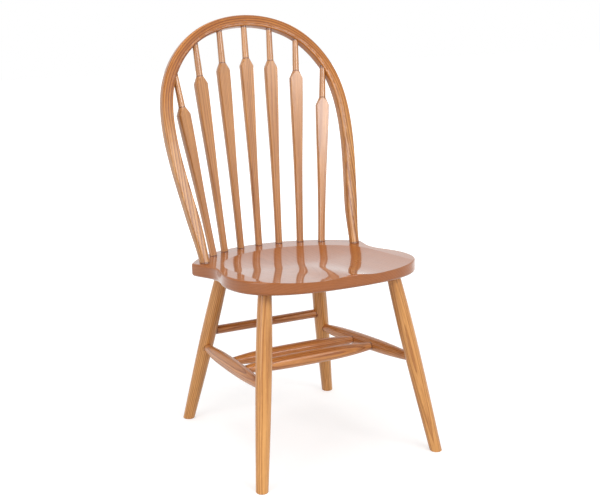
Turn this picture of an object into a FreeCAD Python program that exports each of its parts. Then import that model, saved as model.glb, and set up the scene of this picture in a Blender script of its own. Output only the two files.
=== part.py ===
import FreeCAD, Part
import math
import os

Vector = FreeCAD.Vector

# Overall stance, in millimetres
seat_height = 438.0
seat_slope = 0.08
bow_foot_half_span = 206.6
bow_foot_y = 106.5
front_foot_half_span = 232.2
rear_foot_half_span = 203.5
foot_half_depth = 234.0
front_leg_lean_x = 0.152
front_leg_lean_y = 0.2505
rear_leg_lean_x = 0.1844
rear_leg_lean_y = 0.1658

# Seat plank
seat_thickness = 28.5
seat_back_radius = 271.5
seat_back_y = 257.5
seat_side_points = [(225.5, 88.0), (217.5, 60.0), (214.8, 36.0), (217.0, 12.0), (223.3, -13.0),
                    (230.0, -39.0), (233.5, -68.0), (232.0, -98.0), (226.6, -125.0),
                    (217.0, -148.5), (203.5, -168.5), (186.0, -186.0), (164.0, -200.5),
                    (139.0, -211.5), (109.0, -220.0), (56.0, -228.0)]
seat_front_y = -230.0
seat_corner_half_width = 234.5
seat_corner_radius = 12.0
seat_top_round = 4.0
seat_low_round = 8.0

# Saddle hollow in the seat
saddle_depth = 14.0
saddle_half_width = 194.0
saddle_back_reach = 172.0
saddle_front_share = 0.5
pommel_half_width = 40.0
pommel_start_y = 45.0
pommel_swell = 1.5
saddle_grid_steps = 18
saddle_grid_half_width = 250.0
saddle_grid_front_y = -270.0
saddle_grid_length = 500.0
saddle_cutter_height = 60.0

# Legs
leg_foot_radius = 14.1
leg_lower_radius = 16.6
leg_swell_radius = 18.4
leg_top_radius = 15.1
leg_lower_share = 0.27
leg_swell_share = 0.58
leg_tenon_radius = 12.0
leg_tenon_length = 19.0
foot_chamfer = 1.5

# Stretchers
side_stretcher_rear_height = 193.8
side_stretcher_front_height = 220.6
side_stretcher_end_radius = 10.0
side_stretcher_rear_radius = 13.2
side_stretcher_mid_radius = 16.5
side_stretcher_front_radius = 13.7
rear_stretcher_height = 236.0
rear_stretcher_radius = 10.9
cross_stretcher_end_radius = 9.0
cross_stretcher_shoulder_radius = 15.1
cross_stretcher_mid_radius = 16.8
front_cross_share = 0.612
rear_cross_share = 0.407
leg_socket_past_axis = 6.0
leg_socket_reach = 19.0
cross_socket_past_axis = 3.0
cross_socket_reach = 17.0

# Bent bow
bow_lean = 0.3773
bow_width = 27.2
bow_depth = 23.5
bow_face = 10.0
bow_corner_radius = 3.5
bow_foot_width = 22.0
bow_foot_depth = 22.0
bow_foot_corner_radius = 8.0
bow_taper_length = 110.0
bow_tenon_radius = 8.0
bow_tenon_length = 20.0
bow_past_foot = 12.0
bow_points = [(212.3, 66.0), (220.5, 127.0), (233.4, 218.0), (240.8, 318.0), (238.0, 372.0),
              (224.7, 432.0), (191.6, 493.5), (131.5, 548.2), (64.6, 574.8)]
bow_crown = 582.4
bow_section_count = 41

# Arrow spindles, from the left of the sitter's view to the middle
spindle_foot_x = [151.8, 106.7, 54.0, 0.0]
spindle_foot_y = [178.5, 210.6, 227.1, 233.2]
spindle_top_x = [202.7, 137.6, 68.5, 0.0]
spindle_top_rise = [425.3, 494.7, 522.7, 531.2]
spindle_foot_radius = 9.2
spindle_wide_radius = 17.5
spindle_body_shares = [0.25, 0.5, 0.75]
spindle_body_radii = [9.9, 12.0, 15.2]
spindle_flat_thickness = 18.5
spindle_neck_length = 76.0
spindle_neck_radius = 7.2
spindle_neck_base_radius = 8.4
spindle_neck_straight = 8.0
spindle_shoulder_length = 19.0
spindle_tenon_radius = 7.0
spindle_tenon_length = 18.0
spindle_in_bow = 15.0
spindle_fan = 0.5

# Fits
glue_line = 0.1
socket_end_gap = 1.0
tenon_chamfer = 1.0
tenon_root = 10.0

# Cutting shapes, larger than what they cut
cutter_reach = 40.0
block_size = 1200.0


def seat_top_z(y):
    return seat_height - seat_slope * (y - bow_foot_y)


def seat_up():
    return Vector(0, seat_slope, 1).normalize()


def bow_up():
    return Vector(0, bow_lean, 1).normalize()


def bow_out():
    return Vector(0, -1, bow_lean).normalize()


def bow_point(x, along):
    return Vector(x, bow_foot_y, seat_height) + bow_up() * along


def front_leg_point(side, height):
    x = side * (front_foot_half_span - front_leg_lean_x * height)
    return Vector(x, -foot_half_depth + front_leg_lean_y * height, height)


def rear_leg_point(side, height):
    x = side * (rear_foot_half_span - rear_leg_lean_x * height)
    return Vector(x, foot_half_depth - rear_leg_lean_y * height, height)


def seat_plane_cut(start, direction, drop):
    # Distance along a line to a plane parallel to the seat's top, lowered by drop
    up = seat_up()
    anchor = Vector(0, bow_foot_y, seat_height) - up * drop
    return (anchor - start).dot(up) / direction.dot(up)


def seat_half_space(drop, above):
    # A large block on one side of a plane parallel to the seat's top
    low = -drop if above else -drop - block_size
    block = Part.makeBox(block_size, block_size, block_size,
                         Vector(-block_size / 2, -block_size / 2, low))
    block.rotate(Vector(0, 0, 0), Vector(1, 0, 0), -math.degrees(math.atan(seat_slope)))
    block.translate(Vector(0, bow_foot_y, seat_height))
    return block


def placed(shape, start, direction):
    # Turns a shape made along +Z so that it starts at a point and runs along a direction
    turn = FreeCAD.Rotation(Vector(0, 0, 1), direction)
    moved = shape.copy()
    moved.Placement = FreeCAD.Placement(start, turn)
    return moved


def rod(radius, start, end):
    line = end - start
    return Part.makeCylinder(radius, line.Length, start, line)


def turned(stations):
    # Solid of revolution about Z from straight ends and one smooth curve between them
    first, last = stations[0], stations[-1]
    curve = Part.BSplineCurve()
    curve.interpolate([Vector(radius, 0, along) for radius, along in stations[1:-1]])
    low = Vector(stations[1][0], 0, stations[1][1])
    high = Vector(stations[-2][0], 0, stations[-2][1])
    bottom = Vector(first[0], 0, first[1])
    top = Vector(last[0], 0, last[1])
    edges = [Part.makeLine(Vector(0, 0, first[1]), bottom),
             Part.makeLine(bottom, low),
             curve.toShape(),
             Part.makeLine(high, top),
             Part.makeLine(top, Vector(0, 0, last[1])),
             Part.makeLine(Vector(0, 0, last[1]), Vector(0, 0, first[1]))]
    face = Part.Face(Part.Wire(edges))
    return face.revolve(Vector(0, 0, 0), Vector(0, 0, 1), 360)


def chamfered_ends(solid, radius, ends):
    # Small chamfers on the circular edges that close a turned piece at its ends
    edges = []
    for edge in solid.Edges:
        if isinstance(edge.Curve, Part.Circle) and abs(edge.Curve.Radius - radius) < 0.01:
            if any(abs(edge.Curve.Center.z - end) < 0.01 for end in ends):
                edges.append(edge)
    return solid.makeChamfer(tenon_chamfer, edges)


def seat_corner():
    # Where the round back edge meets the side, before the corner is rounded
    centre_y = seat_back_y - seat_back_radius
    reach_y = math.sqrt(seat_back_radius ** 2 - seat_corner_half_width ** 2)
    return Vector(seat_corner_half_width, centre_y + reach_y, 0)


def mirrored(point):
    return Vector(-point.x, point.y, point.z)


def seat_outline():
    # Bell-shaped plan: round back, pinched waist, wide rounded front
    corner = seat_corner()
    back = Part.Arc(mirrored(corner), Vector(0, seat_back_y, 0), corner)
    half = [corner] + [Vector(x, y, 0) for x, y in seat_side_points]
    points = half + [Vector(0, seat_front_y, 0)] + [mirrored(point) for point in reversed(half)]
    sides = Part.BSplineCurve()
    sides.interpolate(points)
    return Part.Wire([back.toShape(), sides.toShape()])


def level_edges(solid, height):
    # Edges that lie at one height
    return [edge for edge in solid.Edges
            if abs(edge.BoundBox.ZMin - height) < 0.01 and abs(edge.BoundBox.ZMax - height) < 0.01]


def seat_plank():
    # Flat plank with rounded rear corners, a small top round and a larger lower one
    plank = Part.Face(seat_outline()).extrude(Vector(0, 0, -seat_thickness))
    corners = [edge for edge in plank.Edges if edge.BoundBox.ZLength > seat_thickness / 2]
    plank = plank.makeFillet(seat_corner_radius, corners)
    plank = plank.makeFillet(seat_top_round, level_edges(plank, 0.0))
    return plank.makeFillet(seat_low_round, level_edges(plank, -seat_thickness))


def saddle_drop(x, y):
    # Depth of the saddle below the flat top, negative where the seat stays flat
    across = (x / saddle_half_width) ** 2
    behind = (max(y, 0.0) / saddle_back_reach) ** 2
    bowl = 1.0 - across - behind
    forward = max(-y, 0.0) / -seat_front_y
    fade = 1.0 - (1.0 - saddle_front_share) * forward
    rise = max((pommel_start_y - y) / (pommel_start_y - seat_front_y), 0.0)
    ridge = math.exp(-(x / pommel_half_width) ** 2) * rise ** pommel_swell
    if bowl < 0:
        return saddle_depth * bowl
    return saddle_depth * bowl * fade * (1.0 - ridge)


def saddle_cutter():
    # Solid above a smooth dished surface
    half = saddle_grid_half_width
    rows = []
    for i in range(saddle_grid_steps + 1):
        x = -half + 2 * half * i / saddle_grid_steps
        row = []
        for j in range(saddle_grid_steps + 1):
            y = saddle_grid_front_y + saddle_grid_length * j / saddle_grid_steps
            row.append(Vector(x, y, -saddle_drop(x, y)))
        rows.append(row)
    surface = Part.BSplineSurface()
    surface.interpolate(rows)
    return surface.toShape().extrude(Vector(0, 0, saddle_cutter_height))


def make_seat(sockets):
    plank = seat_plank().cut(saddle_cutter())
    plank.rotate(Vector(0, bow_foot_y, 0), Vector(1, 0, 0), -math.degrees(math.atan(seat_slope)))
    plank.translate(Vector(0, 0, seat_height))
    return plank.cut(sockets).removeSplitter()


def leg_axis(point_at, side):
    foot = point_at(side, 0.0)
    direction = (point_at(side, 1.0) - foot).normalize()
    return foot, direction


def make_leg(point_at, side, sockets):
    foot, direction = leg_axis(point_at, side)
    length = seat_plane_cut(foot, direction, seat_thickness)
    stations = [(leg_foot_radius, -tenon_root),
                (leg_foot_radius, 0.0),
                (leg_lower_radius, leg_lower_share * length),
                (leg_swell_radius, leg_swell_share * length),
                (leg_top_radius, length),
                (leg_top_radius, length + tenon_root)]
    body = placed(turned(stations), foot, direction)
    above_floor = Part.makeBox(block_size, block_size, block_size,
                               Vector(-block_size / 2, -block_size / 2, 0))
    body = body.common(above_floor)
    body = body.cut(seat_half_space(seat_thickness, True))
    foot_edges = [edge for edge in body.Edges if edge.BoundBox.ZMax < 0.01]
    body = body.makeChamfer(foot_chamfer, foot_edges)
    start = foot + direction * (length - tenon_root)
    tenon = Part.makeCylinder(leg_tenon_radius, tenon_root + leg_tenon_length)
    tenon = chamfered_ends(tenon, leg_tenon_radius, [tenon_root + leg_tenon_length])
    return body.fuse(placed(tenon, start, direction)).cut(sockets).removeSplitter()


def leg_socket(point_at, side):
    foot, direction = leg_axis(point_at, side)
    length = seat_plane_cut(foot, direction, seat_thickness)
    start = foot + direction * (length - cutter_reach)
    end = foot + direction * (length + leg_tenon_length + socket_end_gap)
    return rod(leg_tenon_radius + glue_line, start, end)


def stretcher_ends(start, end, past_axis):
    # Ends of a stretcher that runs a little past the axes of the pieces it joins
    line = (end - start).normalize()
    return start - line * past_axis, end + line * past_axis


def make_stretcher(start, end, past_axis, socket_reach, end_radius, curve_radii, sockets):
    # Straight inside its sockets, with a swelling curve between them
    low, high = stretcher_ends(start, end, past_axis)
    length = (high - low).Length
    inset = past_axis + socket_reach
    span = length - 2 * inset
    stations = [(end_radius, 0.0)]
    stations += [(radius, inset + span * share) for radius, share in curve_radii]
    stations += [(end_radius, length)]
    body = chamfered_ends(turned(stations), end_radius, [0.0, length])
    body = placed(body, low, high - low)
    if sockets:
        body = body.cut(sockets)
    return body


def stretcher_socket(start, end, past_axis, radius):
    low, high = stretcher_ends(start, end, past_axis + socket_end_gap)
    return rod(radius + glue_line, low, high)


def side_stretcher_axis(side):
    return (rear_leg_point(side, side_stretcher_rear_height),
            front_leg_point(side, side_stretcher_front_height))


def side_stretcher_point(side, share):
    rear, front = side_stretcher_axis(side)
    return rear + (front - rear) * share


def cross_stretcher_axis(share):
    return side_stretcher_point(-1, share), side_stretcher_point(1, share)


def rear_stretcher_axis():
    return (rear_leg_point(-1, rear_stretcher_height), rear_leg_point(1, rear_stretcher_height))


def bow_curve():
    half = [Vector(bow_foot_half_span, 0, 0)] + [Vector(x, along, 0) for x, along in bow_points]
    left = [Vector(-point.x, point.y, 0) for point in half]
    curve = Part.BSplineCurve()
    curve.interpolate(left + [Vector(0, bow_crown, 0)] + half[::-1])
    return curve


def rounded_section(width, depth, radius):
    # Rounded rectangle, width along X and depth along Y
    x, y = width / 2, depth / 2
    u, v = x - radius, y - radius
    bend = radius * math.sqrt(0.5)
    edges = []
    for sx, sy, turn in [(1, 1, 0), (-1, 1, 1), (-1, -1, 0), (1, -1, 1)]:
        ends = [Vector(sx * x, sy * v, 0), Vector(sx * u, sy * y, 0)]
        if turn:
            ends.reverse()
        middle = Vector(sx * (u + bend), sy * (v + bend), 0)
        edges.append((ends, middle))
    shapes = []
    for index, (ends, middle) in enumerate(edges):
        shapes.append(Part.Arc(ends[0], middle, ends[1]).toShape())
        shapes.append(Part.makeLine(ends[1], edges[(index + 1) % 4][0][0]))
    return Part.Wire(shapes)


def bow_stations(curve):
    # Points and directions along the bow, with one more past each foot
    first, last = curve.FirstParameter, curve.LastParameter
    length = curve.length(first, last)
    stations = []
    for index in range(bow_section_count):
        parameter = curve.parameterAtDistance(length * index / (bow_section_count - 1), first)
        stations.append((curve.value(parameter), curve.tangent(parameter)[0]))
    start, start_way = stations[0]
    end, end_way = stations[-1]
    before = [(start - start_way * bow_past_foot, start_way)]
    return before + stations + [(end + end_way * bow_past_foot, end_way)]


def bow_section(point, tangent):
    # Rounded rectangle across the bow, its front face always the same way ahead of the line
    ease = min(max(point.y, 0.0) / bow_taper_length, 1.0)
    ease = ease * ease * (3 - 2 * ease)
    width = bow_foot_width + (bow_width - bow_foot_width) * ease
    depth = bow_foot_depth + (bow_depth - bow_foot_depth) * ease
    radius = bow_foot_corner_radius + (bow_corner_radius - bow_foot_corner_radius) * ease
    run = Vector(tangent.x, 0, 0) + bow_up() * tangent.y
    run.normalize()
    depth_way = bow_out()
    width_way = depth_way.cross(run)
    centre = bow_point(point.x, point.y) + depth_way * (bow_face - depth / 2)
    section = rounded_section(width, depth, radius)
    matrix = FreeCAD.Matrix(width_way.x, depth_way.x, run.x, centre.x,
                            width_way.y, depth_way.y, run.y, centre.y,
                            width_way.z, depth_way.z, run.z, centre.z,
                            0, 0, 0, 1)
    section.Placement = FreeCAD.Placement(matrix)
    return section


def bow_foot_direction(side):
    curve = bow_curve()
    tangent = curve.tangent(curve.LastParameter)[0]
    down = Vector(side * tangent.x, 0, 0) + bow_up() * tangent.y
    return down.normalize()


def make_bow(sockets):
    sections = [bow_section(point, tangent) for point, tangent in bow_stations(bow_curve())]
    body = Part.makeLoft(sections, True, False)
    body = body.cut(seat_half_space(0.0, False))
    for side in (-1, 1):
        foot = bow_point(side * bow_foot_half_span, 0.0)
        down = bow_foot_direction(side)
        tenon = Part.makeCylinder(bow_tenon_radius, tenon_root + bow_tenon_length)
        tenon = chamfered_ends(tenon, bow_tenon_radius, [tenon_root + bow_tenon_length])
        body = body.fuse(placed(tenon, foot - down * tenon_root, down))
    return body.cut(sockets).removeSplitter()


def bow_socket(side):
    foot = bow_point(side * bow_foot_half_span, 0.0)
    down = bow_foot_direction(side)
    return rod(bow_tenon_radius + glue_line, foot - down * cutter_reach,
               foot + down * (bow_tenon_length + socket_end_gap))


def spindle_line(place):
    # Foot on the seat and head at the bow's inner edge, for places -3 to 3
    side = -1 if place < 0 else 1
    index = 3 - abs(place)
    foot_y = spindle_foot_y[index]
    foot = Vector(side * spindle_foot_x[index], foot_y, seat_top_z(foot_y))
    rise = spindle_top_rise[index]
    head = Vector(side * spindle_top_x[index], bow_foot_y + bow_lean * rise, seat_height + rise)
    return foot, head


def make_spindle(place):
    foot, head = spindle_line(place)
    direction = (head - foot).normalize()
    length = (head - foot).Length
    shoulder_top = length - spindle_neck_length
    widest = shoulder_top - spindle_shoulder_length
    curve = Part.BSplineCurve()
    stations = [Vector(spindle_foot_radius, 0, 0)]
    stations += [Vector(radius, 0, share * widest)
                 for share, radius in zip(spindle_body_shares, spindle_body_radii)]
    stations += [Vector(spindle_wide_radius, 0, widest)]
    curve.interpolate(stations)
    knots = [curve.parameter(station) for station in stations]
    bends = [curve.toShape(start, end) for start, end in zip(knots, knots[1:])]
    outline = [Vector(spindle_wide_radius, 0, widest),
               Vector(spindle_neck_base_radius, 0, shoulder_top),
               Vector(spindle_neck_radius, 0, length - spindle_neck_straight),
               Vector(spindle_neck_radius, 0, length + spindle_in_bow),
               Vector(0, 0, length + spindle_in_bow),
               Vector(0, 0, -tenon_root),
               Vector(spindle_foot_radius, 0, -tenon_root),
               Vector(spindle_foot_radius, 0, 0)]
    lines = [Part.makeLine(start, end) for start, end in zip(outline, outline[1:])]
    face = Part.Face(Part.Wire(bends + lines))
    body = face.revolve(Vector(0, 0, 0), Vector(0, 0, 1), 360)
    body = placed(body, foot, direction)
    # Flats on the front and back, turned a little towards the sitter
    fan = spindle_fan * math.asin(foot.x / seat_back_radius)
    facing = Vector(-math.sin(fan), -math.cos(fan), 0)
    facing = (facing - direction * facing.dot(direction)).normalize()
    across = facing.cross(direction)
    slab = Part.makeBox(2 * cutter_reach, spindle_flat_thickness, length + 2 * cutter_reach,
                        Vector(-cutter_reach, -spindle_flat_thickness / 2, -cutter_reach))
    matrix = FreeCAD.Matrix(across.x, facing.x, direction.x, foot.x,
                            across.y, facing.y, direction.y, foot.y,
                            across.z, facing.z, direction.z, foot.z,
                            0, 0, 0, 1)
    slab.Placement = FreeCAD.Placement(matrix)
    body = body.common(slab)
    body = body.cut(seat_half_space(0.0, False))
    tenon = Part.makeCylinder(spindle_tenon_radius, tenon_root + spindle_tenon_length)
    tenon = chamfered_ends(tenon, spindle_tenon_radius, [0.0])
    start = foot - direction * spindle_tenon_length
    return body.fuse(placed(tenon, start, direction)).removeSplitter()


def spindle_foot_socket(place):
    foot, head = spindle_line(place)
    direction = (head - foot).normalize()
    return rod(spindle_tenon_radius + glue_line,
               foot - direction * (spindle_tenon_length + socket_end_gap),
               foot + direction * cutter_reach)


def spindle_head_socket(place):
    foot, head = spindle_line(place)
    direction = (head - foot).normalize()
    return rod(spindle_neck_radius + glue_line, head - direction * cutter_reach,
               head + direction * (spindle_in_bow + socket_end_gap))


def main():
    parts = {}
    places = range(-3, 4)
    legs = {"front": front_leg_point, "rear": rear_leg_point}
    sides = {"left": -1, "right": 1}

    seat_sockets = [spindle_foot_socket(place) for place in places]
    seat_sockets += [leg_socket(point_at, side) for point_at in legs.values() for side in (-1, 1)]
    seat_sockets += [bow_socket(side) for side in (-1, 1)]
    parts["seat"] = make_seat(seat_sockets)

    parts["bow"] = make_bow([spindle_head_socket(place) for place in places])
    for number, place in enumerate(places, 1):
        parts["spindle_%d" % number] = make_spindle(place)

    rear_rod = stretcher_socket(*rear_stretcher_axis(), leg_socket_past_axis, rear_stretcher_radius)
    for side_name, side in sides.items():
        side_rod = stretcher_socket(*side_stretcher_axis(side), leg_socket_past_axis,
                                    side_stretcher_end_radius)
        parts["leg_front_" + side_name] = make_leg(front_leg_point, side, [side_rod])
        parts["leg_rear_" + side_name] = make_leg(rear_leg_point, side, [side_rod, rear_rod])

    cross_rods = [stretcher_socket(*cross_stretcher_axis(share), cross_socket_past_axis,
                                   cross_stretcher_end_radius)
                  for share in (front_cross_share, rear_cross_share)]
    side_curve = [(side_stretcher_end_radius, 0.0), (side_stretcher_rear_radius, 0.11),
                  (side_stretcher_mid_radius, 0.47), (side_stretcher_front_radius, 0.84),
                  (side_stretcher_end_radius, 1.0)]
    cross_curve = [(cross_stretcher_end_radius, 0.0), (cross_stretcher_shoulder_radius, 0.2),
                   (cross_stretcher_mid_radius, 0.5), (cross_stretcher_shoulder_radius, 0.8),
                   (cross_stretcher_end_radius, 1.0)]
    for side_name, side in sides.items():
        parts["stretcher_side_" + side_name] = make_stretcher(
            *side_stretcher_axis(side), leg_socket_past_axis, leg_socket_reach,
            side_stretcher_end_radius, side_curve, cross_rods)
    for cross_name, share in (("front", front_cross_share), ("rear", rear_cross_share)):
        parts["stretcher_cross_" + cross_name] = make_stretcher(
            *cross_stretcher_axis(share), cross_socket_past_axis, cross_socket_reach,
            cross_stretcher_end_radius, cross_curve, [])
    rear_curve = [(rear_stretcher_radius, 0.0), (rear_stretcher_radius, 1.0)]
    parts["stretcher_rear"] = make_stretcher(
        *rear_stretcher_axis(), leg_socket_past_axis, leg_socket_reach,
        rear_stretcher_radius, rear_curve, [])

    # Origin on the floor, below the middle of the whole chair
    box = Part.makeCompound(list(parts.values())).optimalBoundingBox(False)
    shift = Vector(0, -(box.YMin + box.YMax) / 2, 0)
    os.makedirs("parts", exist_ok=True)
    for name, made in parts.items():
        shape = made.Solids[0] if len(made.Solids) == 1 else made
        shape.translate(shift)
        shape.exportStep("parts/" + name + ".step")
        print(name, shape.ShapeType, len(shape.Solids), round(shape.Volume / 1000, 1), "cm3",
              "valid" if shape.isValid() else "NOT VALID")
    print("shift", shift, "box", box)


main()
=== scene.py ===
import bpy
import math
import numpy as np
from mathutils import Matrix, Vector


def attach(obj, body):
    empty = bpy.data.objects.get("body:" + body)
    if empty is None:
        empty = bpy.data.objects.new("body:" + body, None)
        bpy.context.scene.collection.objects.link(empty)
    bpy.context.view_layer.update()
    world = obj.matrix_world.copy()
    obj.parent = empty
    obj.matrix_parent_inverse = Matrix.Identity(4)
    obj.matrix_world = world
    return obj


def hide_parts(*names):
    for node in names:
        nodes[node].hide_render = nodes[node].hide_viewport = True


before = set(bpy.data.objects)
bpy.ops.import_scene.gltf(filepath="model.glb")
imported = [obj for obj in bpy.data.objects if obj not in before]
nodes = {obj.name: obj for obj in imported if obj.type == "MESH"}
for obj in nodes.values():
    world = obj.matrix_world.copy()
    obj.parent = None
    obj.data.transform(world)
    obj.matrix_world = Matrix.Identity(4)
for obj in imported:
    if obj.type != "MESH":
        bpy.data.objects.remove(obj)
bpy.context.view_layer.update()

scene = bpy.context.scene
bpy.ops.object.select_all(action="DESELECT")
print("chair loaded:", len(nodes), "pieces of wood")


# Small helpers for shader trees

def addNode(tree, kind, settings=None, inputs=None):
    made = tree.nodes.new(kind)
    for name, value in (settings or {}).items():
        setattr(made, name, value)
    for name, value in (inputs or {}).items():
        if isinstance(value, bpy.types.NodeSocket):
            tree.links.new(value, made.inputs[name])
        else:
            made.inputs[name].default_value = value
    return made


def mathNode(tree, operation, first, second=0.0, third=None, clamp=False):
    made = addNode(tree, "ShaderNodeMath", {"operation": operation, "use_clamp": clamp})
    for index, value in enumerate((first, second, third)):
        if value is None:
            continue
        if isinstance(value, bpy.types.NodeSocket):
            tree.links.new(value, made.inputs[index])
        else:
            made.inputs[index].default_value = value
    return made.outputs[0]


def mixColour(tree, share, first, second, blend="MIX"):
    made = addNode(tree, "ShaderNodeMix", {"data_type": "RGBA", "blend_type": blend})
    for socket, value in ((made.inputs[0], share), (made.inputs[6], first), (made.inputs[7], second)):
        if isinstance(value, bpy.types.NodeSocket):
            tree.links.new(value, socket)
        else:
            socket.default_value = value
    return made.outputs[2]


def stretched(tree, vector, scales):
    made = addNode(tree, "ShaderNodeVectorMath", {"operation": "MULTIPLY"})
    tree.links.new(vector, made.inputs[0])
    made.inputs[1].default_value = scales
    return made.outputs[0]


def noiseOf(tree, vector, scales, detail=2.0, roughness=0.5):
    made = addNode(tree, "ShaderNodeTexNoise", None,
                   {"Vector": stretched(tree, vector, scales), "Scale": 1.0,
                    "Detail": detail, "Roughness": roughness})
    return made


def ramp(tree, value, low, high):
    made = addNode(tree, "ShaderNodeMapRange", {"interpolation_type": "SMOOTHSTEP"},
                   {"Value": value, "From Min": low, "From Max": high})
    return made.outputs[0]


def newGroup(name, inputs, outputs):
    group = bpy.data.node_groups.new(name, "ShaderNodeTree")
    for socketName, socketType, value in inputs:
        made = group.interface.new_socket(socketName, in_out="INPUT", socket_type=socketType)
        if value is not None:
            made.default_value = value
    for socketName, socketType in outputs:
        group.interface.new_socket(socketName, in_out="OUTPUT", socket_type=socketType)
    return group, group.nodes.new("NodeGroupInput"), group.nodes.new("NodeGroupOutput")


# Oak grain: growth rings round a pith outside the piece, fibres, pores and ray flecks

grainLook = {
    "waviness": 0.010,        # how far the rings wander, metres
    "pith": (0.052, 0.071),   # how far the middle of the rings lies from the piece's own middle, metres
    # noise cells per metre, across, through and along the grain
    "wanderCells": (9.0, 9.0, 2.2),
    "fibreCells": (620.0, 620.0, 9.0),
    "broadCells": (75.0, 75.0, 3.0),
    "fleckCells": (240.0, 160.0, 38.0),
    "poreCells": (1500.0, 1500.0, 55.0),
    # how much each of them darkens the wood
    "ringShare": 0.62,
    "fibreShare": 0.46,
    "broadShare": 0.40,
    "flecksShare": 0.16,
    "poreDarkness": 0.55,
    "poreColour": (0.42, 0.36, 0.33, 1),
}


def makeGrainGroup():
    group, given, result = newGroup(
        "oakGrain",
        [("Vector", "NodeSocketVector", None), ("Light Wood", "NodeSocketColor", (0.6, 0.3, 0.1, 1)),
         ("Dark Wood", "NodeSocketColor", (0.4, 0.17, 0.05, 1)), ("Ring Spacing", "NodeSocketFloat", 0.004),
         ("Figure", "NodeSocketFloat", 1.0)],
        [("Color", "NodeSocketColor"), ("Pores", "NodeSocketFloat"), ("Height", "NodeSocketFloat")])
    vector = given.outputs["Vector"]
    wander = noiseOf(group, vector, grainLook["wanderCells"], 2.0)
    centred = addNode(group, "ShaderNodeVectorMath", {"operation": "SUBTRACT"},
                      {0: wander.outputs["Color"], 1: (0.5, 0.5, 0.5)})
    shift = stretched(group, centred.outputs[0], (grainLook["waviness"], grainLook["waviness"], 0.0))
    bent = addNode(group, "ShaderNodeVectorMath", {"operation": "ADD"}, {0: vector, 1: shift})
    parts = addNode(group, "ShaderNodeSeparateXYZ", None, {0: bent.outputs[0]})
    across = mathNode(group, "POWER", mathNode(group, "ADD", parts.outputs[0], grainLook["pith"][0]), 2.0)
    deep = mathNode(group, "POWER", mathNode(group, "ADD", parts.outputs[1], grainLook["pith"][1]), 2.0)
    fromPith = mathNode(group, "SQRT", mathNode(group, "ADD", across, deep))
    turns = mathNode(group, "DIVIDE", fromPith, given.outputs["Ring Spacing"])
    saw = mathNode(group, "FRACT", turns)
    early = mathNode(group, "MULTIPLY", ramp(group, saw, 0.45, 0.92), ramp(group, saw, 1.0, 0.93))
    fibreNoise = noiseOf(group, bent.outputs[0], grainLook["fibreCells"], 3.0, 0.6).outputs[0]
    fibre = ramp(group, fibreNoise, 0.32, 0.68)
    broad = ramp(group, noiseOf(group, bent.outputs[0], grainLook["broadCells"], 2.0).outputs[0], 0.3, 0.7)
    fleckNoise = noiseOf(group, bent.outputs[0], grainLook["fleckCells"], 1.0).outputs[0]
    fleck = ramp(group, fleckNoise, 0.60, 0.74)
    poreNoise = noiseOf(group, bent.outputs[0], grainLook["poreCells"], 1.0).outputs[0]
    pores = mathNode(group, "MULTIPLY", ramp(group, poreNoise, 0.58, 0.70),
                     mathNode(group, "ADD", mathNode(group, "MULTIPLY", early, 0.75), 0.25))
    dark = mathNode(group, "MULTIPLY", early, grainLook["ringShare"])
    dark = mathNode(group, "ADD", dark, mathNode(group, "MULTIPLY", fibre, grainLook["fibreShare"]))
    dark = mathNode(group, "ADD", dark, mathNode(group, "MULTIPLY", broad, grainLook["broadShare"]))
    dark = mathNode(group, "SUBTRACT", dark, mathNode(group, "MULTIPLY", fleck, grainLook["flecksShare"]))
    dark = mathNode(group, "MULTIPLY", dark, given.outputs["Figure"], clamp=True)
    colour = mixColour(group, dark, given.outputs["Light Wood"], given.outputs["Dark Wood"])
    poreShare = mathNode(group, "MULTIPLY", mathNode(group, "MULTIPLY", pores, given.outputs["Figure"]),
                         grainLook["poreDarkness"], clamp=True)
    poreColour = mixColour(group, 1.0, colour, grainLook["poreColour"], "MULTIPLY")
    colour = mixColour(group, poreShare, colour, poreColour)
    height = mathNode(group, "SUBTRACT", mathNode(group, "MULTIPLY", fibre, 0.15), pores)
    group.links.new(colour, result.inputs["Color"])
    group.links.new(pores, result.inputs["Pores"])
    group.links.new(height, result.inputs["Height"])
    return group


# Painted shade: a dark ring where one piece enters another, standing in for the shadow at the joint

paintedJointShade = {"colour": (0.150, 0.042, 0.012, 1), "cells": (160.0, 160.0, 160.0)}


def makePaintedJointShadeGroup():
    group, given, result = newGroup(
        "jointPaintedShade",
        [("Distance", "NodeSocketFloat", 0.0), ("Reach", "NodeSocketFloat", 0.002),
         ("Vector", "NodeSocketVector", None)],
        [("Mask", "NodeSocketFloat")])
    uneven = noiseOf(group, given.outputs["Vector"], paintedJointShade["cells"], 2.0).outputs[0]
    reach = mathNode(group, "MULTIPLY", given.outputs["Reach"], mathNode(group, "ADD", uneven, 0.5))
    share = mathNode(group, "DIVIDE", given.outputs["Distance"], reach)
    group.links.new(ramp(group, share, 1.25, 0.15), result.inputs["Mask"])
    return group


# Pale sharp edges: partly varnish worn thin, partly a painted highlight along the edges

paleEdgeWearAndHighlight = {"colour": (0.80, 0.56, 0.34, 1), "share": 0.35, "cells": (60.0, 60.0, 60.0)}


def makeEdgeWearAndHighlightGroup():
    group, given, result = newGroup(
        "edgeWearAndHighlight",
        [("Vector", "NodeSocketVector", None), ("Radius", "NodeSocketFloat", 0.0012)],
        [("Mask", "NodeSocketFloat"), ("Normal", "NodeSocketVector")])
    rounded = addNode(group, "ShaderNodeBevel", {"samples": 4}, {"Radius": given.outputs["Radius"]})
    plain = addNode(group, "ShaderNodeNewGeometry")
    facing = addNode(group, "ShaderNodeVectorMath", {"operation": "DOT_PRODUCT"},
                     {0: rounded.outputs[0], 1: plain.outputs["Normal"]})
    turned = ramp(group, facing.outputs["Value"], 0.995, 0.90)
    patchNoise = noiseOf(group, given.outputs["Vector"], paleEdgeWearAndHighlight["cells"], 3.0).outputs[0]
    patchy = ramp(group, patchNoise, 0.35, 0.62)
    group.links.new(mathNode(group, "MULTIPLY", turned, patchy), result.inputs["Mask"])
    group.links.new(rounded.outputs[0], result.inputs["Normal"])
    return group


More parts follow.
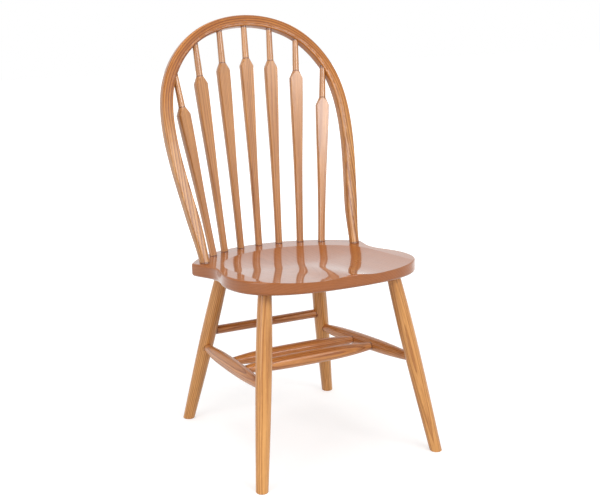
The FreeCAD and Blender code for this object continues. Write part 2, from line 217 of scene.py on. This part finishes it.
grainGroup = makeGrainGroup()
paintedJointShadeGroup = makePaintedJointShadeGroup()
edgeWearAndHighlightGroup = makeEdgeWearAndHighlightGroup()
print("shader groups made")


# Where a piece lies and which way its grain runs

def longAxis(node):
    points = np.empty(len(node.data.vertices) * 3)
    node.data.vertices.foreach_get("co", points)
    points = points.reshape(-1, 3)
    low, high = points.min(0), points.max(0)
    longest = int(np.argmax(high - low))
    lowEnd = points[points[:, longest] < low[longest] + 0.012].mean(0)
    highEnd = points[points[:, longest] > high[longest] - 0.012].mean(0)
    return Vector((lowEnd + highEnd) / 2), Vector(highEnd - lowEnd)


def turnedTo(direction, twist):
    along = direction.normalized()
    return (along.to_track_quat("Z", "Y").to_matrix() @ Matrix.Rotation(twist, 3, "Z")).to_euler()


def startMaterial(name):
    material = bpy.data.materials.new(name)
    material.use_nodes = True
    tree = material.node_tree
    tree.nodes.clear()
    shader = addNode(tree, "ShaderNodeBsdfPrincipled")
    output = addNode(tree, "ShaderNodeOutputMaterial")
    tree.links.new(shader.outputs[0], output.inputs[0])
    return material, tree, shader


def mappedCoordinates(tree, centre, rotation):
    coordinates = addNode(tree, "ShaderNodeTexCoord")
    mapping = addNode(tree, "ShaderNodeMapping", {"vector_type": "TEXTURE"},
                      {"Vector": coordinates.outputs["Object"], "Location": centre, "Rotation": rotation})
    return mapping.outputs[0]


smudges = {"cells": (14.0, 14.0, 14.0), "reach": 0.12}


def boardPlace(seed):
    # where in the log the piece was cut, so that no two pieces share their grain
    return (seed * 0.0137 % 0.05, seed * 0.0091 % 0.05, seed * 0.731 % 3.0)


def finishWood(tree, shader, vector, look, seed, distance=None, topShadeShare=None):
    # distance is to the nearest joint, where a ring of painted shade darkens the wood, and reddened the
    # share of the painted shade that makes the bow darker and redder towards its top
    offset = addNode(tree, "ShaderNodeVectorMath", {"operation": "ADD"}, {0: vector, 1: boardPlace(seed)})
    grain = addNode(tree, "ShaderNodeGroup", {"node_tree": grainGroup},
                    {"Vector": offset.outputs[0], "Light Wood": look["light"], "Dark Wood": look["dark"],
                     "Ring Spacing": look["rings"], "Figure": look["figure"]})
    wearAndHighlight = addNode(tree, "ShaderNodeGroup", {"node_tree": edgeWearAndHighlightGroup},
                   {"Vector": vector, "Radius": look["edge"]})
    colour = grain.outputs["Color"]
    # painted shade: the wood is darkened in a ring near each joint
    if distance is not None:
        paintedShadeRing = addNode(tree, "ShaderNodeGroup", {"node_tree": paintedJointShadeGroup},
                       {"Distance": distance, "Reach": look["paintedShadeRing"], "Vector": vector})
        share = mathNode(tree, "MULTIPLY", paintedShadeRing.outputs["Mask"], look["paintedShadeDarkness"])
        colour = mixColour(tree, share, colour, paintedJointShade["colour"])
    # painted shade: the bow is darker and redder towards its top
    if topShadeShare is not None:
        topShaded = mixColour(tree, 1.0, colour, look["topPaintedShade"], "MULTIPLY")
        colour = mixColour(tree, topShadeShare, colour, topShaded)
    # pale edges: partly wear, partly a painted highlight
    paleEdge = mixColour(tree, paleEdgeWearAndHighlight["share"], colour, paleEdgeWearAndHighlight["colour"])
    colour = mixColour(tree, mathNode(tree, "MULTIPLY", wearAndHighlight.outputs["Mask"], look["wearAndHighlight"]), colour, paleEdge)
    tree.links.new(colour, shader.inputs["Base Color"])
    smudge = noiseOf(tree, vector, smudges["cells"], 3.0).outputs[0]
    smoothest = look["roughness"] - smudges["reach"] / 2
    rough = mathNode(tree, "MULTIPLY_ADD", smudge, smudges["reach"], smoothest)
    rough = mathNode(tree, "MULTIPLY_ADD", grain.outputs["Pores"], 0.10, rough, clamp=True)
    tree.links.new(rough, shader.inputs["Roughness"])
    bump = addNode(tree, "ShaderNodeBump", None,
                   {"Strength": look["bump"], "Distance": 0.0002, "Height": grain.outputs["Height"],
                    "Normal": wearAndHighlight.outputs["Normal"]})
    tree.links.new(bump.outputs[0], shader.inputs["Normal"])
    shader.inputs["Specular IOR Level"].default_value = look["specular"]
    shader.inputs["Coat Weight"].default_value = look["coat"]
    shader.inputs["Coat Roughness"].default_value = look["coatRoughness"]
    shader.inputs["Coat IOR"].default_value = look.get("coatIor", 1.5)


def shownCopy(node, name):
    # a new piece with the solid's surface, ready for edit mode
    mesh = node.data.copy()
    mesh.transform(node.matrix_world)
    piece = bpy.data.objects.new(name, mesh)
    scene.collection.objects.link(piece)
    bpy.ops.object.select_all(action="DESELECT")
    piece.select_set(True)
    bpy.context.view_layer.objects.active = piece
    return piece


def dress(piece, material):
    piece.data.materials.clear()
    piece.data.materials.append(material)


def paint(nodeName, material):
    node = nodes[nodeName]
    for slot in node.material_slots:
        slot.material = material
    if not node.material_slots:
        node.data.materials.append(material)


# Turned pieces: legs, stretchers and spindles

turnedLooks = {
    "leg": {"light": (0.82, 0.405, 0.122, 1), "dark": (0.46, 0.178, 0.041, 1),
            "rings": 0.0042, "figure": 1.0,
            "edge": 0.0010, "wearAndHighlight": 0.5, "roughness": 0.38, "bump": 0.30, "specular": 0.35,
            "coat": 0.4, "coatRoughness": 0.16, "paintedShadeRing": 0.0016, "paintedShadeDarkness": 0.8},
    "stretcher": {"light": (0.72, 0.305, 0.086, 1), "dark": (0.37, 0.120, 0.030, 1),
                  "rings": 0.0040, "figure": 1.0,
                  "edge": 0.0008, "wearAndHighlight": 0.4, "roughness": 0.36, "bump": 0.30, "specular": 0.35,
                  "coat": 0.4, "coatRoughness": 0.16, "paintedShadeRing": 0.0013, "paintedShadeDarkness": 0.7},
    "spindle": {"light": (0.64, 0.300, 0.098, 1), "dark": (0.36, 0.135, 0.036, 1),
                "rings": 0.0036, "figure": 0.9,
                "edge": 0.0009, "wearAndHighlight": 0.6, "roughness": 0.32, "bump": 0.22, "specular": 0.5,
                "coat": 0.9, "coatRoughness": 0.16, "paintedShadeRing": 0.0016, "paintedShadeDarkness": 0.9,
                "neckBelowTip": 0.091},
}

# length of each piece's two ends, low and high, that its joints hide
hiddenEnds = {"leg": (None, 0.0230), "spindle": (0.0180, 0.0150), "stretcher_side": (0.0246, 0.0246),
              "stretcher_rear": (0.0246, 0.0246), "stretcher_cross": (0.0190, 0.0190)}

for seed, nodeName in enumerate(sorted(nodes)):
    kind = nodeName.split("_")[0]
    if kind not in turnedLooks:
        continue
    look = turnedLooks[kind]
    centre, line = longAxis(nodes[nodeName])
    material, tree, shader = startMaterial(nodeName + "Oak")
    local = mappedCoordinates(tree, centre, turnedTo(line, seed * 1.37))
    height = addNode(tree, "ShaderNodeSeparateXYZ", None, {0: local}).outputs[2]
    lowHidden, highHidden = next(ends for start, ends in hiddenEnds.items() if nodeName.startswith(start))
    distance = mathNode(tree, "SUBTRACT", line.length / 2 - highHidden, height)
    if lowHidden is not None:
        fromLow = mathNode(tree, "ADD", line.length / 2 - lowHidden, height)
        distance = mathNode(tree, "MINIMUM", distance, fromLow)
    # the painted shade ring also goes round each spindle's neck
    if "neckBelowTip" in look:
        fromNeck = mathNode(tree, "SUBTRACT", height, line.length / 2 - look["neckBelowTip"])
        distance = mathNode(tree, "MINIMUM", distance, mathNode(tree, "ABSOLUTE", fromNeck))
    finishWood(tree, shader, local, look, seed, distance)
    paint(nodeName, material)
print("legs, stretchers and spindles finished")


# Bow: the grain bends with the wood

bowLook = {"light": (0.70, 0.340, 0.100, 1), "dark": (0.28, 0.095, 0.022, 1),
           "rings": 0.0040, "figure": 1.0, "edge": 0.0012, "wearAndHighlight": 0.6, "roughness": 0.32,
           "bump": 0.22, "specular": 0.3,
           "coat": 0.35, "coatRoughness": 0.11, "paintedShadeRing": 0.0017, "paintedShadeDarkness": 0.8,
           # painted shade: the colour that makes the bow's top darker and redder, where less light reaches
           # it
           "topPaintedShade": (0.88, 0.69, 0.42, 1), "topShadeFrom": 0.33, "topShadeTo": 0.52,
           "topShadePatches": (30.0, 30.0, 6.0), "topShadeWander": 0.12}

# lean is its slope backwards, straight the length of its limbs and arch the radius above them
bowShape = {"lean": 0.3773, "foot": (0.0, 0.06633, 0.438), "straight": 0.340, "arch": 0.2435,
            "socketRadius": 0.0077, "socketDepth": 0.0170, "smoothAngle": 35.0}


def bowCoordinates(tree):
    # across, through and along the bent wood, worked out in the plane that the bow leans in
    straight, arch = bowShape["straight"], bowShape["arch"]
    flat = mappedCoordinates(tree, bowShape["foot"], (-math.atan(bowShape["lean"]), 0.0, 0.0))
    parts = addNode(tree, "ShaderNodeSeparateXYZ", None, {0: flat})
    side, through, along = parts.outputs[0], parts.outputs[1], parts.outputs[2]
    rise = mathNode(tree, "MAXIMUM", mathNode(tree, "SUBTRACT", along, straight), 0.0)
    sideSquare = mathNode(tree, "MULTIPLY", side, side)
    riseSquare = mathNode(tree, "MULTIPLY", rise, rise)
    radius = mathNode(tree, "SQRT", mathNode(tree, "ADD", sideSquare, riseSquare))
    turn = mathNode(tree, "MULTIPLY", mathNode(tree, "ARCTAN2", rise, side), arch)
    below = mathNode(tree, "SUBTRACT", mathNode(tree, "MINIMUM", along, straight), straight)
    length = mathNode(tree, "ADD", turn, mathNode(tree, "MULTIPLY", mathNode(tree, "SIGN", side), below))
    joined = addNode(tree, "ShaderNodeCombineXYZ", None,
                     {0: mathNode(tree, "SUBTRACT", radius, arch), 1: through, 2: length})
    return joined.outputs[0], along


def inSocket(centre, normal, tip, direction):
    # walls face their spindle's axis, and the bottom of a bore faces back down it
    offset = centre - tip
    height = offset.dot(direction)
    outward = offset - direction * height
    if abs(height) > bowShape["socketDepth"] or outward.length > bowShape["socketRadius"]:
        return False
    if height > 0.0 and normal.dot(direction) < -0.9:
        return True
    return outward.length > 0.001 and normal.dot(outward.normalized()) < -0.5


def spindleTip(node):
    middle, line = longAxis(node)
    direction = line.normalized()
    reach = max((corner.co - middle).dot(direction) for corner in node.data.vertices)
    return middle + direction * reach, direction


# The bored sockets come through the solid's front face, so the shown bow has them closed.
bow = shownCopy(nodes["bow"], "bentBow")
bpy.ops.object.mode_set(mode="EDIT")
bpy.ops.mesh.select_all(action="SELECT")
bpy.ops.mesh.remove_doubles(threshold=0.000001)
bpy.ops.mesh.select_all(action="DESELECT")
bpy.ops.object.mode_set(mode="OBJECT")
tips = [spindleTip(nodes[name]) for name in sorted(nodes) if name.startswith("spindle")]
bored = 0
for face in bow.data.polygons:
    face.select = any(inSocket(face.center, face.normal, tip, direction) for tip, direction in tips)
    bored += face.select
bpy.ops.object.mode_set(mode="EDIT")
bpy.ops.mesh.select_mode(type="FACE")
bpy.ops.mesh.delete(type="FACE")
bpy.ops.mesh.select_mode(type="EDGE")
bpy.ops.mesh.select_all(action="DESELECT")
bpy.ops.mesh.select_non_manifold(extend=False, use_wire=True, use_boundary=True,
                                 use_multi_face=False, use_non_contiguous=False, use_verts=False)
bpy.ops.mesh.fill_holes(sides=0)
bpy.ops.mesh.select_all(action="SELECT")
bpy.ops.mesh.customdata_custom_splitnormals_clear()
bpy.ops.object.mode_set(mode="OBJECT")
bpy.ops.object.shade_smooth_by_angle(angle=math.radians(bowShape["smoothAngle"]))
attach(bow, "root")
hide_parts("bow")

material, tree, shader = startMaterial("bowOak")
bent, along = bowCoordinates(tree)
# painted shade, darker and redder up the bow, with uneven patches at its edge
patches = noiseOf(tree, bent, bowLook["topShadePatches"], 2.0).outputs[0]
climb = mathNode(tree, "MULTIPLY_ADD", patches, bowLook["topShadeWander"], along)
topShadeShare = ramp(tree, climb, bowLook["topShadeFrom"], bowLook["topShadeTo"])
finishWood(tree, shader, bent, bowLook, 31, along, topShadeShare)
dress(bow, material)
print("bow finished, socket faces taken out:", bored)


# Seat: red-brown stain under a glossy varnish

seatLook = {"light": (0.39, 0.122, 0.027, 1), "dark": (0.28, 0.080, 0.016, 1),
            "rings": 0.0060, "figure": 0.45, "edge": 0.0015, "wearAndHighlight": 0.12, "roughness": 0.30,
            "bump": 0.06, "specular": 0.05,
            "coat": 0.92, "coatRoughness": 0.035, "coatIor": 1.42, "heartHeight": 0.33}

# In the photo the seat's edge is a little deeper than the solid's, so the shown seat
# has its underside lowered.
seatShape = {"topAtBow": 0.438, "bowAt": 0.06633, "slope": 0.08, "lowerPart": 0.019, "deeper": 0.0025}

seat = shownCopy(nodes["seat"], "deepSeat")
bpy.ops.object.mode_set(mode="EDIT")
bpy.ops.mesh.select_mode(type="VERT")
bpy.ops.mesh.select_all(action="DESELECT")
bpy.ops.object.mode_set(mode="OBJECT")
for corner in seat.data.vertices:
    top = seatShape["topAtBow"] + seatShape["slope"] * (seatShape["bowAt"] - corner.co.y)
    corner.select = top - corner.co.z > seatShape["lowerPart"]
bpy.ops.object.mode_set(mode="EDIT")
bpy.ops.transform.translate(value=(0.0, 0.0, -seatShape["deeper"]))
bpy.ops.object.mode_set(mode="OBJECT")
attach(seat, "root")
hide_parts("seat")

material, tree, shader = startMaterial("seatStain")
# the boards' grain runs from the front of the seat to its back
local = mappedCoordinates(tree, (0.0, 0.0, seatLook["heartHeight"]), (math.radians(90), 0.0, 0.0))
finishWood(tree, shader, local, seatLook, 53)
dress(seat, material)
print("seat finished")


# Floor, light and camera

studio = {
    "floorSize": 16.0, "floor": (0.62, 0.62, 0.62, 1),
    # how white the floor looks by itself, near the chair and far off, and where that changes
    "floorLift": 0.55, "farLift": 1.0, "nearReach": 0.9, "farReach": 2.2,
    "skyForLight": 0.46,
    "lamps": [
        {"name": "frontSoftbox", "at": (0.66, -2.75, 1.95), "width": 2.2, "height": 0.9, "power": 45.0},
        {"name": "leftSoftbox", "at": (-2.70, -0.90, 1.55), "width": 1.8, "height": 1.8, "power": 31.0},
        {"name": "overhead", "at": (0.0, 0.0, 3.0), "width": 2.4, "height": 2.4, "power": 30.0},
    ],
    "aim": (0.0, 0.0, 0.55),
}


def seenDirectly(tree):
    # 1 where the camera, a reflection or a look through glass meets the background
    path = addNode(tree, "ShaderNodeLightPath")
    seen = mathNode(tree, "MAXIMUM", path.outputs["Is Camera Ray"], path.outputs["Is Glossy Ray"])
    return mathNode(tree, "MAXIMUM", seen, path.outputs["Is Transmission Ray"])


bpy.ops.mesh.primitive_plane_add(size=studio["floorSize"], location=(0.0, 0.0, 0.0))
floor = bpy.context.object
floor.name = "studioFloor"
material, tree, shader = startMaterial("palePaper")
shader.inputs["Base Color"].default_value = studio["floor"]
shader.inputs["Roughness"].default_value = 0.9
shader.inputs["Specular IOR Level"].default_value = 0.0
shader.inputs["Emission Color"].default_value = (1, 1, 1, 1)
coordinates = addNode(tree, "ShaderNodeTexCoord")
away = addNode(tree, "ShaderNodeVectorMath", {"operation": "LENGTH"}, {0: coordinates.outputs["Object"]})
far = ramp(tree, away.outputs["Value"], studio["nearReach"], studio["farReach"])
lift = mathNode(tree, "MULTIPLY_ADD", far, studio["farLift"] - studio["floorLift"], studio["floorLift"])
tree.links.new(mathNode(tree, "MULTIPLY", seenDirectly(tree), lift), shader.inputs["Emission Strength"])
floor.data.materials.append(material)

world = bpy.data.worlds.new("studioWorld")
scene.world = world
world.use_nodes = True
tree = world.node_tree
tree.nodes.clear()
strength = addNode(tree, "ShaderNodeMix", {"data_type": "FLOAT"},
                   {0: seenDirectly(tree), 2: studio["skyForLight"], 3: 1.0})
background = addNode(tree, "ShaderNodeBackground", None, {"Strength": strength.outputs[0]})
background.inputs["Color"].default_value = (1, 1, 1, 1)
output = addNode(tree, "ShaderNodeOutputWorld")
tree.links.new(background.outputs[0], output.inputs[0])

for lamp in studio["lamps"]:
    data = bpy.data.lights.new(lamp["name"], "AREA")
    data.shape = "RECTANGLE"
    data.size = lamp["width"]
    data.size_y = lamp["height"]
    data.energy = lamp["power"]
    made = bpy.data.objects.new(lamp["name"], data)
    scene.collection.objects.link(made)
    made.location = lamp["at"]
    made.rotation_euler = (Vector(studio["aim"]) - made.location).to_track_quat("-Z", "Y").to_euler()

cameraLook = {"at": (-1.3017, -2.3971, 1.1667), "tilt": 75.463, "turn": -28.746,
              "lens": 70.67, "sensor": 36.0}
cameraData = bpy.data.cameras.new("photoCamera")
cameraData.sensor_fit = "HORIZONTAL"
cameraData.sensor_width = cameraLook["sensor"]
cameraData.lens = cameraLook["lens"]
camera = bpy.data.objects.new("photoCamera", cameraData)
scene.collection.objects.link(camera)
camera.location = cameraLook["at"]
camera.rotation_euler = (math.radians(cameraLook["tilt"]), 0.0, math.radians(cameraLook["turn"]))
scene.camera = camera
scene.view_settings.view_transform = "Standard"
print("studio ready")
